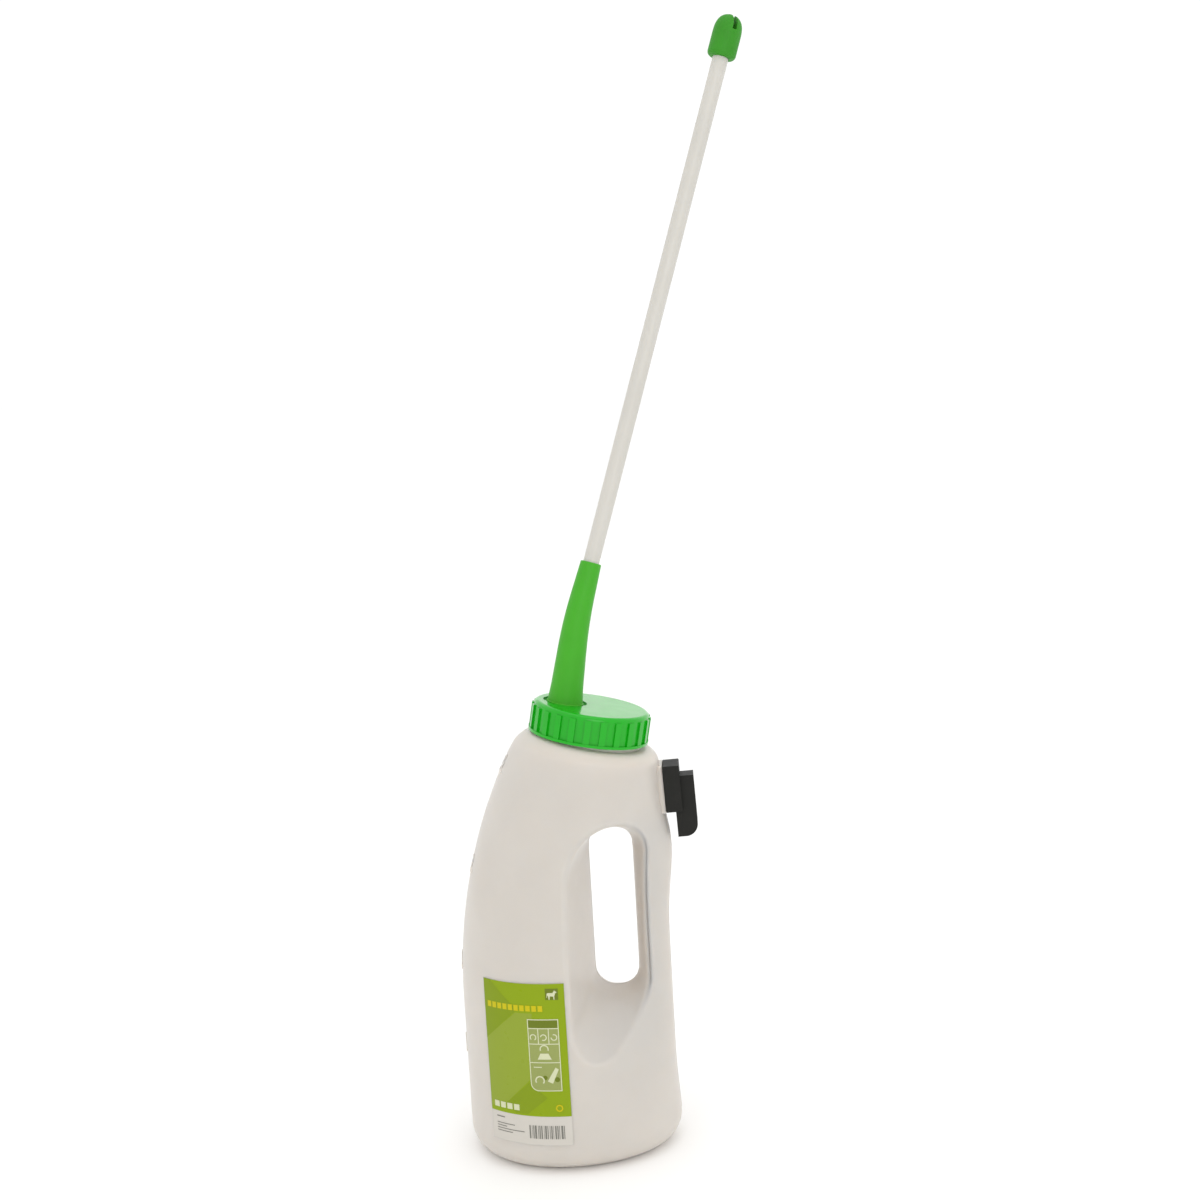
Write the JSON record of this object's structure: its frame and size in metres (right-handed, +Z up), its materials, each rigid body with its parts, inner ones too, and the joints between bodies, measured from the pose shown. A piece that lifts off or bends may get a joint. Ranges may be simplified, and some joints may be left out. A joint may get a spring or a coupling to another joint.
{
  "type": "calf drencher bottle",
  "caption": "Hand-held calf drencher: translucent bottle with moulded grip and side hook, ribbed screw cap, swivelling bent spout and long rigid feeding tube with a slotted bulb tip.",
  "frame": {"origin": "centre of the standing ring under the bottle, on the floor", "axes": "+Z up the bottle, +X towards the grip and the hanging hook, Y across the width"},
  "size_m": [0.2471, 0.1437, 0.839],
  "materials": {
    "bottle_hdpe": "satin translucent",
    "label_film": "printed film",
    "green_gloss": "gloss",
    "green_satin": "satin",
    "gasket_rubber": "matte",
    "tube_plastic": "satin",
    "hook_black": "matte"
  },
  "bodies": {
    "bottle_body": {"bottle": "bottle_hdpe", "bottle_label": "label_film"},
    "gasket_body": {"cap_gasket": "gasket_rubber"},
    "cap_body": {"screw_cap": "green_gloss"},
    "spout_body": {"spout": "green_satin", "spout_seal_ring": "gasket_rubber"},
    "tube_body": {"feeding_tube": "tube_plastic"},
    "tip_body": {"tube_tip": "green_satin"},
    "hook_body": {"hanging_hook": "hook_black"}
  },
  "joints": [
    {"name": "cap_lift", "type": "slide", "parent": "bottle_body", "child": "gasket_body", "axis": [0.1908, 0, 0.9816], "range_m": [0, 0.0076]},
    {"name": "cap_turn", "type": "hinge", "parent": "gasket_body", "child": "cap_body", "pos_m": [0.0255, 0, 0.3149], "axis": [0.1908, 0, 0.9816], "range_deg": [0, 540]},
    {"name": "spout_swivel", "type": "hinge", "parent": "cap_body", "child": "spout_body", "pos_m": [0.0095, 0, 0.33951], "axis": [0.1908, 0, 0.9816], "continuous": true},
    {"name": "tube_pull", "type": "slide", "parent": "spout_body", "child": "tube_body", "axis": [0.2965, 0.1446, 0.944], "range_m": [0, 0.025]},
    {"name": "tip_pull", "type": "slide", "parent": "tube_body", "child": "tip_body", "axis": [0.2965, 0.1446, 0.944], "range_m": [0, 0.019]},
    {"name": "hook_slide", "type": "slide", "parent": "bottle_body", "child": "hook_body", "axis": [-0.0436, 0, 0.999], "range_m": [0, 0.036]}
  ],
  "couplings": [
    {"joint": "cap_lift", "follows": "cap_turn", "m_per_rad": 0.00079577}
  ]
}
